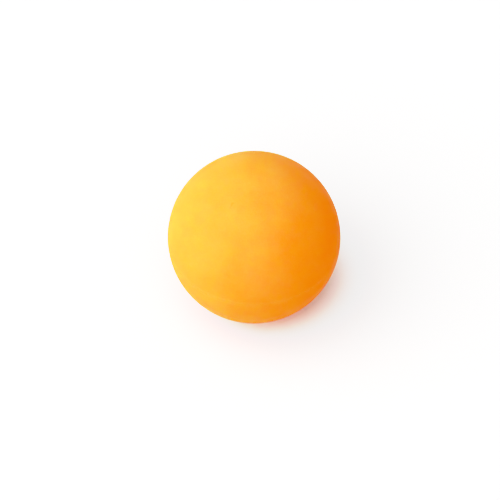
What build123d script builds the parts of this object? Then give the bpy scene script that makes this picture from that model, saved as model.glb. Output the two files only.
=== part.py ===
from build123d import *

import math
import os

# A 40 mm table tennis ball: two moulded plastic half shells, cemented together at the equator.
# The origin is the ball's centre, +Z runs through both poles, and the seam lies in the XY plane.
# The upper half has a thin tongue inside its rim, which slips into the lower half as a lap joint.

# Driving dimensions, in millimetres
ball_diameter = 40.0
wall_thickness = 0.5

tongue_length = 1.2
tongue_thickness = 0.45
tongue_clearance = 0.08
tongue_lead_in = 0.12

collar_height = 0.35
collar_taper = 0.65
collar_blend = 0.3

cement_line = 0.06
seam_easing = 0.03
bead_height = 0.35
bead_width = 0.3
bead_curve = 0.4

# Derived places
outer_radius = ball_diameter / 2
inner_radius = outer_radius - wall_thickness
rim_height = cement_line / 2
tongue_outer_radius = inner_radius - tongue_clearance
tongue_inner_radius = tongue_outer_radius - tongue_thickness
tongue_tip = -tongue_length
cement_outer_radius = outer_radius - seam_easing


def latitude(height, radius):
    """Angle in degrees above the equator of a sphere's surface at a height."""
    return math.degrees(math.asin(height / radius))


def is_ring(edge):
    """True for a full circle round the ball's axis, and false for a part of a meridian."""
    return edge.is_closed


outer_rim_latitude = latitude(rim_height, outer_radius)
inner_rim_latitude = latitude(rim_height, inner_radius)
collar_latitude = latitude(collar_height + collar_taper, inner_radius)
bead_latitude = latitude(tongue_length + bead_height, inner_radius)

os.makedirs("parts", exist_ok=True)

# Upper half: a dome whose rim thickens into a collar, and whose tongue reaches below the seam
with BuildPart() as upper_half_shell:
    with BuildSketch(Plane.XZ):
        with BuildLine():
            outside = CenterArc((0, 0), outer_radius, outer_rim_latitude, 90 - outer_rim_latitude)
            inside = CenterArc((0, 0), inner_radius, collar_latitude, 90 - collar_latitude)
            Line(outside @ 1, inside @ 1)
            Polyline(
                outside @ 0,
                (tongue_outer_radius, rim_height),
                (tongue_outer_radius, tongue_tip),
                (tongue_inner_radius, tongue_tip),
                (tongue_inner_radius, collar_height),
                inside @ 0,
            )
        make_face()
    revolve(axis=Axis.Z)
    collar_edges = edges().filter_by(GeomType.CIRCLE).filter_by(is_ring).sort_by(Axis.Z)[-2:]
    fillet(collar_edges, radius=collar_blend)
    tip_edges = edges().filter_by(GeomType.CIRCLE).filter_by(is_ring).group_by(Axis.Z)[0]
    chamfer(tip_edges, length=tongue_lead_in)
    rim_edge = edges().filter_by(GeomType.CIRCLE).filter_by(is_ring).sort_by(SortBy.RADIUS)[-1]
    chamfer(rim_edge, length=seam_easing)
upper_half_shell.part.label = "upper_half_shell"
export_step(upper_half_shell.part, "parts/upper_half_shell.step")

# Lower half: a plain dome of even wall, cut square at its rim
with BuildPart() as lower_half_shell:
    with BuildSketch(Plane.XZ):
        with BuildLine():
            outside = CenterArc((0, 0), outer_radius, -90, 90 - outer_rim_latitude)
            inside = CenterArc((0, 0), inner_radius, -90, 90 - inner_rim_latitude)
            Line(outside @ 0, inside @ 0)
            Line(outside @ 1, inside @ 1)
        make_face()
    revolve(axis=Axis.Z)
    rim_edge = edges().filter_by(GeomType.CIRCLE).filter_by(is_ring).sort_by(SortBy.RADIUS)[-1]
    chamfer(rim_edge, length=seam_easing)
lower_half_shell.part.label = "lower_half_shell"
export_step(lower_half_shell.part, "parts/lower_half_shell.step")

# Cement: a flat film between the rims, a film down the lap, and the bead squeezed out at the tip
with BuildPart() as cement_ring:
    with BuildSketch(Plane.XZ):
        with BuildLine():
            lap = CenterArc((0, 0), inner_radius, -bead_latitude, bead_latitude - inner_rim_latitude)
            around = Polyline(
                lap @ 1,
                (cement_outer_radius, -rim_height),
                (cement_outer_radius, rim_height),
                (tongue_outer_radius, rim_height),
                (tongue_outer_radius, tongue_tip + tongue_lead_in),
                (tongue_outer_radius - tongue_lead_in, tongue_tip),
                (tongue_outer_radius - bead_width, tongue_tip),
            )
            RadiusArc(around @ 1, lap @ 0, bead_curve)
        make_face()
    revolve(axis=Axis.Z)
cement_ring.part.label = "cement_ring"
export_step(cement_ring.part, "parts/cement_ring.step")
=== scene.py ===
import math

import bmesh
import bpy
from mathutils import Matrix, Vector


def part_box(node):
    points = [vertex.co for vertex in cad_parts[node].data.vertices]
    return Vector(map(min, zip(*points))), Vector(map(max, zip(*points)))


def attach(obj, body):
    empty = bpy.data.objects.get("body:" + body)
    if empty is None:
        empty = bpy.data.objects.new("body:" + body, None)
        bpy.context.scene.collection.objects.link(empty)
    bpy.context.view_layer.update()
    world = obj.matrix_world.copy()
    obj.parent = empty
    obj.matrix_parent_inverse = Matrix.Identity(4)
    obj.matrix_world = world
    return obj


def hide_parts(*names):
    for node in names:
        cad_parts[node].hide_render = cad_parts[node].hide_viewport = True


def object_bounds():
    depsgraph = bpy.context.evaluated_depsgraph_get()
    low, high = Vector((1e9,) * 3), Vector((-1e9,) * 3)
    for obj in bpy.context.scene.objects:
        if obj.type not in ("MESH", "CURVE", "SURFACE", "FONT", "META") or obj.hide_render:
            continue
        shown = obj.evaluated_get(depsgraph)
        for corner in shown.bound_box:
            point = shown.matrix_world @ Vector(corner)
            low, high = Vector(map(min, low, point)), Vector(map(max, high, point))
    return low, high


# A 40 mm table tennis ball in matt orange plastic: two half shells, lapped and cemented at the equator.
# Lengths are metres in the CAD's frame: the origin is the ball's centre and +Z runs through its poles.

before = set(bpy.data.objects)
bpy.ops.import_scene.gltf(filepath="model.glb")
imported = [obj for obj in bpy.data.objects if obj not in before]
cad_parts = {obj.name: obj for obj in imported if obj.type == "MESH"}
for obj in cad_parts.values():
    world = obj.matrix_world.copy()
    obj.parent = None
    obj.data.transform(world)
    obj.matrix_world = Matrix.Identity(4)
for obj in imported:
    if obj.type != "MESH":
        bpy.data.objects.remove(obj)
cad_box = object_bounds()

MM = 0.001

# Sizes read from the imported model
CENTRE = (cad_box[0] + cad_box[1]) / 2
RADIUS = (cad_box[1].z - cad_box[0].z) / 2
RIM_HEIGHT = -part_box("lower_half_shell")[1].z
TONGUE_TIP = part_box("upper_half_shell")[0].z
CEMENT_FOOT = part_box("cement_ring")[0].z
CEMENT_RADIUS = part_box("cement_ring")[1].x

# Sizes of the joint that a box doesn't show, as the CAD has them
WALL = 0.5 * MM
TONGUE_THICKNESS = 0.45 * MM
TONGUE_CLEARANCE = 0.08 * MM
TONGUE_LEAD_IN = 0.12 * MM
COLLAR_HEIGHT = 0.35 * MM
COLLAR_TAPER = 0.65 * MM
BEAD_WIDTH = 0.3 * MM

INNER_RADIUS = RADIUS - WALL
TONGUE_OUTER = INNER_RADIUS - TONGUE_CLEARANCE
TONGUE_INNER = TONGUE_OUTER - TONGUE_THICKNESS
SEAM_EASING = RADIUS - CEMENT_RADIUS

# Quads along one edge of the quad sphere that the domes are made from
GRID = 64
# Corners of the sphere that agree to this many decimals are one corner
CORNER_DECIMALS = 6
# Edges that turn by more than this stay sharp
SHARP_TURN = math.radians(30)


# ---------------------------------------------------------------- shells

def quad_dome(count):
    """Half a quad sphere: unit directions, quads as index lists, and the equator's indices in order."""
    directions = []
    index_of = {}
    quads = []

    def corner(x, y, z):
        direction = Vector((x, y, z)).normalized()
        key = tuple(round(value, CORNER_DECIMALS) for value in direction)
        if key not in index_of:
            index_of[key] = len(directions)
            directions.append(direction)
        return index_of[key]

    def even(step):
        """Places along a cube's face that come out evenly spaced on the sphere."""
        return math.tan(math.pi / 4 * (2 * step / count - 1))

    def add_face(place, columns, rows):
        for i in range(columns):
            for j in rows:
                steps = ((i, j), (i + 1, j), (i + 1, j + 1), (i, j + 1))
                quads.append([corner(*place(even(u), even(v))) for u, v in steps])

    upper_rows = range(count // 2, count)
    add_face(lambda u, v: (u, v, 1), count, range(count))
    add_face(lambda u, v: (u, -1, v), count, upper_rows)
    add_face(lambda u, v: (1, u, v), count, upper_rows)
    add_face(lambda u, v: (-u, 1, v), count, upper_rows)
    add_face(lambda u, v: (-1, -u, v), count, upper_rows)

    equator = [i for i, direction in enumerate(directions) if direction.z < 10 ** -CORNER_DECIMALS]
    equator.sort(key=lambda i: math.atan2(directions[i].y, directions[i].x))
    return directions, quads, equator


DOME = quad_dome(GRID)


def on_dome(direction, radius, edge_height):
    """A quad-dome direction, drawn up from the equator so that the dome's edge lies at a height."""
    polar_limit = math.acos(edge_height / radius)
    polar = math.acos(max(-1.0, min(1.0, direction.z))) * polar_limit / (math.pi / 2)
    azimuth = math.atan2(direction.y, direction.x)
    across = math.sin(polar)
    return Vector((across * math.cos(azimuth), across * math.sin(azimuth), math.cos(polar))) * radius


def add_dome(bm, radius, edge_height):
    """Adds a dome to bm and returns its edge loop."""
    directions, quads, equator = DOME
    verts = [bm.verts.new(on_dome(direction, radius, edge_height)) for direction in directions]
    for quad in quads:
        bm.faces.new([verts[i] for i in quad])
    return [verts[i] for i in equator]


def add_ring(bm, loop, radius, height):
    """A loop like an existing one, at a radius and height about the ball's axis."""
    angles = [math.atan2(vert.co.y, vert.co.x) for vert in loop]
    return [bm.verts.new((radius * math.cos(a), radius * math.sin(a), height)) for a in angles]


def bridge(bm, first, second):
    """Quads between two loops of the same length."""
    size = len(first)
    for i in range(size):
        j = (i + 1) % size
        bm.faces.new((first[i], first[j], second[j], second[i]))


def half_shell(name, rim, outer_edge, inner_edge):
    """An upper half: an outer dome, the rim's profile as (radius, height) steps, and an inner dome."""
    bm = bmesh.new()
    outer = add_dome(bm, RADIUS, outer_edge)
    inner = add_dome(bm, INNER_RADIUS, inner_edge)
    loops = [outer] + [add_ring(bm, outer, radius, height) for radius, height in rim] + [inner]
    for first, second in zip(loops, loops[1:]):
        bridge(bm, first, second)
    bmesh.ops.recalc_face_normals(bm, faces=bm.faces)
    return new_piece(name, bm)


def new_piece(name, bm):
    """Turns bm into a smooth-shaded object whose true edges stay sharp."""
    mesh = bpy.data.meshes.new(name)
    bm.to_mesh(mesh)
    bm.free()
    mesh.shade_smooth()
    mesh.set_sharp_from_angle(angle=SHARP_TURN)
    piece = bpy.data.objects.new(name, mesh)
    bpy.context.scene.collection.objects.link(piece)
    return piece


collar_top = COLLAR_HEIGHT + COLLAR_TAPER
outer_edge = RIM_HEIGHT + SEAM_EASING
eased_rim = (RADIUS - SEAM_EASING, RIM_HEIGHT)

upper_rim = [
    eased_rim,
    (TONGUE_OUTER, RIM_HEIGHT),
    (TONGUE_OUTER, TONGUE_TIP + TONGUE_LEAD_IN),
    (TONGUE_OUTER - TONGUE_LEAD_IN, TONGUE_TIP),
    (TONGUE_INNER + TONGUE_LEAD_IN, TONGUE_TIP),
    (TONGUE_INNER, TONGUE_TIP + TONGUE_LEAD_IN),
    (TONGUE_INNER, COLLAR_HEIGHT),
]
upper_shell = half_shell("upper_shell", upper_rim, outer_edge, collar_top)

lower_rim = [
    eased_rim,
    (INNER_RADIUS, RIM_HEIGHT),
]
lower_shell = half_shell("lower_shell", lower_rim, outer_edge, RIM_HEIGHT)
# It is made as an upper half, and mirrored to face down
lower_shell.data.transform(Matrix.Diagonal((1, 1, -1, 1)))
lower_shell.data.flip_normals()

# ---------------------------------------------------------------- cement


def lap_radius(height):
    """The lower half's inner radius at a height, which is the outside of the film of cement."""
    return math.sqrt(INNER_RADIUS ** 2 - height ** 2)


cement_profile = [
    (CEMENT_RADIUS, -RIM_HEIGHT),
    (CEMENT_RADIUS, RIM_HEIGHT),
    (TONGUE_OUTER, RIM_HEIGHT),
    (TONGUE_OUTER, TONGUE_TIP + TONGUE_LEAD_IN),
    (TONGUE_OUTER - TONGUE_LEAD_IN, TONGUE_TIP),
    (TONGUE_OUTER - BEAD_WIDTH, TONGUE_TIP),
    (lap_radius(CEMENT_FOOT), CEMENT_FOOT),
    (lap_radius(TONGUE_TIP), TONGUE_TIP),
    (lap_radius(RIM_HEIGHT), -RIM_HEIGHT),
]


def lathe(name, profile, segments):
    """A closed ring with a closed profile of (radius, height) corners."""
    bm = bmesh.new()
    loops = []
    for radius, height in profile:
        turns = [2 * math.pi * i / segments for i in range(segments)]
        loops.append([bm.verts.new((radius * math.cos(a), radius * math.sin(a), height)) for a in turns])
    for first, second in zip(loops, loops[1:] + loops[:1]):
        bridge(bm, first, second)
    bmesh.ops.recalc_face_normals(bm, faces=bm.faces)
    return new_piece(name, bm)


seam_cement = lathe("seam_cement", cement_profile, 4 * GRID)

# ---------------------------------------------------------------- materials

# Sizes of what the plastic's surface shows
CLOUD_SIZE = 8 * MM
RUB_SIZE = 3 * MM
GRAIN_SIZE = 0.45 * MM
PORE_SIZE = 0.18 * MM
SPECK_SPACING = 5 * MM
SPECK_RADIUS = 0.22 * MM
SEAM_BAND = 1.1 * MM
SEAM_FADE = 0.3 * MM

# The share of the cells that hold no speck
SPECK_FREE = 0.5
# Where nearly all of the noise texture's values lie
NOISE_RANGE = (0.25, 0.75)

# How far each carries the colour between its deep tone, 0, and its pale tone, 1
CLOUD_TONE = 0.35
RUB_TONE = 0.14
GRAIN_TONE = 0.22
SPECK_TONE = 1.0
NICK_TONE = 0.5

# Heights of the surface's own texture
GRAIN_HEIGHT = 0.0045 * MM
PORE_HEIGHT = 0.003 * MM
NICK_DEPTH = 0.012 * MM

# The one scuff on the upper half: its direction from the centre, its lean to the right and its half sizes
NICK_TOWARD = Vector((-0.246, -0.314, 0.917))
NICK_LEAN = math.radians(-17)
NICK_SIZE = (0.25 * MM, 0.7 * MM, 0.7 * MM)
# How far the grain frays its edge, and where it starts and ends fading, in half sizes from its middle
NICK_FRAY = 1.2
NICK_FADE = (0.5, 1.3)

# The fine grain's part in the roughness beside the rubbed patches, and the range of the two together
GRAIN_ROUGHENS = 0.5
ROUGHENING_RANGE = (-0.6, 0.6)

# How far red, green and blue light travel in the plastic, as shares of the depth given for it
LIGHT_REACH = (1.0, 0.4, 0.1)


def new_material(name):
    material = bpy.data.materials.new(name)
    material.use_nodes = True
    return material, material.node_tree.nodes["Principled BSDF"]


def node(material, kind, inputs=None, **settings):
    """Adds a node to a material or world, sets its properties, and fills its inputs with values or links."""
    made = material.node_tree.nodes.new(kind)
    for key, value in settings.items():
        setattr(made, key, value)
    for key, value in (inputs or {}).items():
        if isinstance(value, bpy.types.NodeSocket):
            material.node_tree.links.new(value, made.inputs[key])
        else:
            made.inputs[key].default_value = value
    return made


def remap(material, value, low, high, to_low=0.0, to_high=1.0):
    """Carries the range low to high onto to_low to to_high, eased at both ends and held beyond them."""
    return node(material, "ShaderNodeMapRange", {
        "Value": value, "From Min": low, "From Max": high, "To Min": to_low, "To Max": to_high,
    }, interpolation_type="SMOOTHSTEP").outputs["Result"]


def weighted_sum(material, start, *terms):
    """start plus each value times its weight."""
    total = start
    for value, weight in terms:
        total = node(material, "ShaderNodeMath", {0: value, 1: weight, 2: total},
                     operation="MULTIPLY_ADD").outputs["Value"]
    return total


def grain(material, place, size, detail, roughness):
    """Even noise with features of a size in metres, about -0.5 to 0.5."""
    texture = node(material, "ShaderNodeTexNoise", {
        "Vector": place, "Scale": 1 / size, "Detail": detail, "Roughness": roughness})
    return remap(material, texture.outputs["Fac"], *NOISE_RANGE, -0.5, 0.5)


def specks(material, place):
    """A few tiny inclusions: up to 1 at the middle of one, of any size up to the largest."""
    cells = node(material, "ShaderNodeTexVoronoi", {"Vector": place, "Scale": 1 / SPECK_SPACING})
    drawn = node(material, "ShaderNodeSeparateColor", {"Color": cells.outputs["Color"]}).outputs["Red"]
    largest = SPECK_RADIUS / SPECK_SPACING
    radius = remap(material, drawn, SPECK_FREE, 1.0, 0.0, largest)
    depth_inside = weighted_sum(material, radius, (cells.outputs["Distance"], -1.0))
    return remap(material, depth_inside, 0.0, largest)


def nick(material, place, wobble):
    """The scuff: 1 inside an uneven oval on the outer wall."""
    oval = node(material, "ShaderNodeMapping", {
        "Vector": place, "Location": NICK_TOWARD.normalized() * RADIUS, "Rotation": (0, 0, NICK_LEAN),
        "Scale": NICK_SIZE,
    }, vector_type="TEXTURE").outputs["Vector"]
    distance = node(material, "ShaderNodeVectorMath", {0: oval}, operation="LENGTH").outputs["Value"]
    frayed = weighted_sum(material, distance, (wobble, NICK_FRAY))
    return remap(material, frayed, *NICK_FADE, 1.0, 0.0)


def plastic(name, deep, pale, seam_tone, smooth, rough, gloss, depth):
    """Matt, slightly translucent ball plastic, clouded and grained between a deep and a pale tone."""
    material, shader = new_material(name)
    place = node(material, "ShaderNodeTexCoord").outputs["Object"]
    height = node(material, "ShaderNodeSeparateXYZ", {"Vector": place}).outputs["Z"]
    off_seam = node(material, "ShaderNodeMath", {0: height}, operation="ABSOLUTE").outputs["Value"]

    clouds = grain(material, place, CLOUD_SIZE, detail=3.0, roughness=0.5)
    rubbed = grain(material, place, RUB_SIZE, detail=5.0, roughness=0.6)
    fine = grain(material, place, GRAIN_SIZE, detail=3.0, roughness=0.6)
    pores = grain(material, place, PORE_SIZE, detail=1.0, roughness=0.5)
    band = remap(material, off_seam, SEAM_BAND / 2, SEAM_BAND / 2 + SEAM_FADE, 1.0, 0.0)
    scuff = nick(material, place, fine)

    tone = weighted_sum(material, 0.5, (clouds, CLOUD_TONE), (rubbed, RUB_TONE), (fine, GRAIN_TONE),
                        (band, seam_tone), (specks(material, place), -SPECK_TONE), (scuff, -NICK_TONE))
    colour = node(material, "ShaderNodeMixRGB", {"Fac": tone, "Color1": deep, "Color2": pale})
    roughening = weighted_sum(material, rubbed, (fine, GRAIN_ROUGHENS))
    roughness = remap(material, roughening, *ROUGHENING_RANGE, smooth, rough)
    relief = weighted_sum(material, 0.0, (fine, GRAIN_HEIGHT), (pores, PORE_HEIGHT), (scuff, -NICK_DEPTH))
    bump = node(material, "ShaderNodeBump", {"Height": relief, "Distance": 1.0, "Strength": 1.0})

    link = material.node_tree.links.new
    link(colour.outputs["Color"], shader.inputs["Base Color"])
    link(roughness, shader.inputs["Roughness"])
    link(bump.outputs["Normal"], shader.inputs["Normal"])
    shader.inputs["Specular IOR Level"].default_value = gloss
    shader.inputs["Subsurface Weight"].default_value = 1.0
    shader.inputs["Subsurface Radius"].default_value = LIGHT_REACH
    shader.inputs["Subsurface Scale"].default_value = depth
    return material


shell_plastic = plastic("shell_plastic", deep=(0.94, 0.245, 0.031, 1), pale=(0.96, 0.301, 0.051, 1),
                        seam_tone=0.2, smooth=0.54, rough=0.68, gloss=0.045, depth=0.3 * MM)
cement_plastic = plastic("cement_plastic", deep=(0.95, 0.30, 0.04, 1), pale=(0.97, 0.38, 0.075, 1),
                         seam_tone=0.0, smooth=0.34, rough=0.46, gloss=0.2, depth=0.03 * MM)

for shell in (upper_shell, lower_shell):
    shell.data.materials.append(shell_plastic)
seam_cement.data.materials.append(cement_plastic)

# ---------------------------------------------------------------- riding

for piece, cad_node, slot in (
    (upper_shell, "upper_half_shell", "shell"),
    (lower_shell, "lower_half_shell", "shell"),
    (seam_cement, "cement_ring", "cement"),
):
    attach(piece, "root")
    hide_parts(cad_node)

# ---------------------------------------------------------------- stage

# The floor looks white, and throws back only a little warm light, as if other things stood round the ball
FLOOR_WHITE = (0.87, 0.865, 0.86, 1)
FLOOR_BOUNCE = (0.70, 0.58, 0.45, 1)
FLOOR_RADIUS = 6.0
FLOOR_SIDES = 64
FLOOR_ROUGHNESS = 0.8
FLOOR_GLOSS = 0.1

floor_mesh = bpy.data.meshes.new("floor")
bm = bmesh.new()
bmesh.ops.create_circle(bm, cap_ends=True, segments=FLOOR_SIDES, radius=FLOOR_RADIUS)
bm.to_mesh(floor_mesh)
bm.free()
floor = bpy.data.objects.new("floor", floor_mesh)
floor.location.z = cad_box[0].z
bpy.context.scene.collection.objects.link(floor)
floor_paint, floor_shader = new_material("floor_paint")
seen = node(floor_paint, "ShaderNodeLightPath").outputs["Is Camera Ray"]
floor_colour = node(floor_paint, "ShaderNodeMixRGB", {
    "Fac": seen, "Color1": FLOOR_BOUNCE, "Color2": FLOOR_WHITE})
floor_paint.node_tree.links.new(floor_colour.outputs["Color"], floor_shader.inputs["Base Color"])
floor_shader.inputs["Roughness"].default_value = FLOOR_ROUGHNESS
floor_shader.inputs["Specular IOR Level"].default_value = FLOOR_GLOSS
floor_mesh.materials.append(floor_paint)

# ---------------------------------------------------------------- light

# One soft light, high on the left and a little in front: a wide lamp in the middle of a glow in the room
KEY_TOWARD = Vector((-0.45, -0.34, 0.83)).normalized()
KEY_WIDTH = math.radians(85)
KEY_STRENGTH = 1.5

key_light = bpy.data.lights.new("key", "SUN")
key_light.angle = KEY_WIDTH
key_light.energy = KEY_STRENGTH
key_lamp = bpy.data.objects.new("key", key_light)
key_lamp.rotation_mode = "QUATERNION"
key_lamp.rotation_quaternion = KEY_TOWARD.to_track_quat("Z", "Y")
bpy.context.scene.collection.objects.link(key_lamp)

# The room is white to look at, and lights the ball with the glow and a faint even fill
GLOW_LIGHT = (4.2, 4.2, 4.2, 1)
GLOW_FOCUS = 4.0
FILL_LIGHT = (0.2, 0.2, 0.2, 1)
ROOM_WHITE = (1.6, 1.6, 1.6, 1)

world = bpy.data.worlds.new("studio")
world.use_nodes = True
sky = node(world, "ShaderNodeTexCoord").outputs["Generated"]
along = node(world, "ShaderNodeVectorMath", {0: sky, 1: KEY_TOWARD}, operation="DOT_PRODUCT")
facing = node(world, "ShaderNodeMath", {0: along.outputs["Value"], 1: 0.0}, operation="MAXIMUM")
glow = node(world, "ShaderNodeMath", {0: facing.outputs["Value"], 1: GLOW_FOCUS}, operation="POWER")
light = node(world, "ShaderNodeMixRGB", {
    "Fac": glow.outputs["Value"], "Color1": FILL_LIGHT, "Color2": GLOW_LIGHT})
seen = node(world, "ShaderNodeLightPath").outputs["Is Camera Ray"]
room = node(world, "ShaderNodeMixRGB", {
    "Fac": seen, "Color1": light.outputs["Color"], "Color2": ROOM_WHITE})
background = world.node_tree.nodes["Background"]
world.node_tree.links.new(room.outputs["Color"], background.inputs["Color"])
bpy.context.scene.world = world

# ---------------------------------------------------------------- contrast

# A print's contrast, as curves of (shade, result) points. Blender's curves run from 0 to 1, so a shade is
# divided by the brightest one kept. The blue curve comes first, and its result is a shade again: it holds
# the faintest blue down, which keeps the orange deep. The print curve then rolls the whites off.
BRIGHTEST = 1.4
BLUE_CURVE = ((0.042, 0.002), (0.085, 0.093), (0.3, 0.3))
PRINT_CURVE = ((0.3, 0.285), (0.5, 0.595), (0.7, 0.82), (1.0, 0.89))
PRINT_WHITE = 0.99

view = bpy.context.scene.view_settings
view.view_transform = "Standard"
view.use_curve_mapping = True
view.curve_mapping.white_level = (BRIGHTEST, BRIGHTEST, BRIGHTEST)
blue_curve, print_curve = view.curve_mapping.curves[2:]
for shade, held in BLUE_CURVE:
    blue_curve.points.new(shade / BRIGHTEST, held / BRIGHTEST).handle_type = "VECTOR"
for shade, printed in PRINT_CURVE:
    print_curve.points.new(shade / BRIGHTEST, printed)
print_curve.points[-1].location.y = PRINT_WHITE
view.curve_mapping.update()

# ---------------------------------------------------------------- camera

CAMERA_ELEVATION = math.radians(49.6)
CAMERA_DISTANCE = 0.373
# The lens and the sensor are in millimetres, as Blender has them
LENS = 115.85
SENSOR_WIDTH = 36
# Where the camera aims, from the ball's centre
AIM_RIGHT = -0.93 * MM
AIM_UP = -3.0 * MM
# The nearest and furthest that it sees
NEAR = 0.01
FAR = 20

back = Vector((0, -math.cos(CAMERA_ELEVATION), math.sin(CAMERA_ELEVATION)))
right = Vector((1, 0, 0))
up = back.cross(right)
camera_data = bpy.data.cameras.new("camera")
camera_data.sensor_width = SENSOR_WIDTH
camera_data.lens = LENS
camera_data.clip_start = NEAR
camera_data.clip_end = FAR
camera = bpy.data.objects.new("camera", camera_data)
camera.location = CENTRE + right * AIM_RIGHT + up * AIM_UP + back * CAMERA_DISTANCE
camera.rotation_mode = "QUATERNION"
camera.rotation_quaternion = back.to_track_quat("Z", "Y")
bpy.context.scene.collection.objects.link(camera)
bpy.context.scene.camera = camera
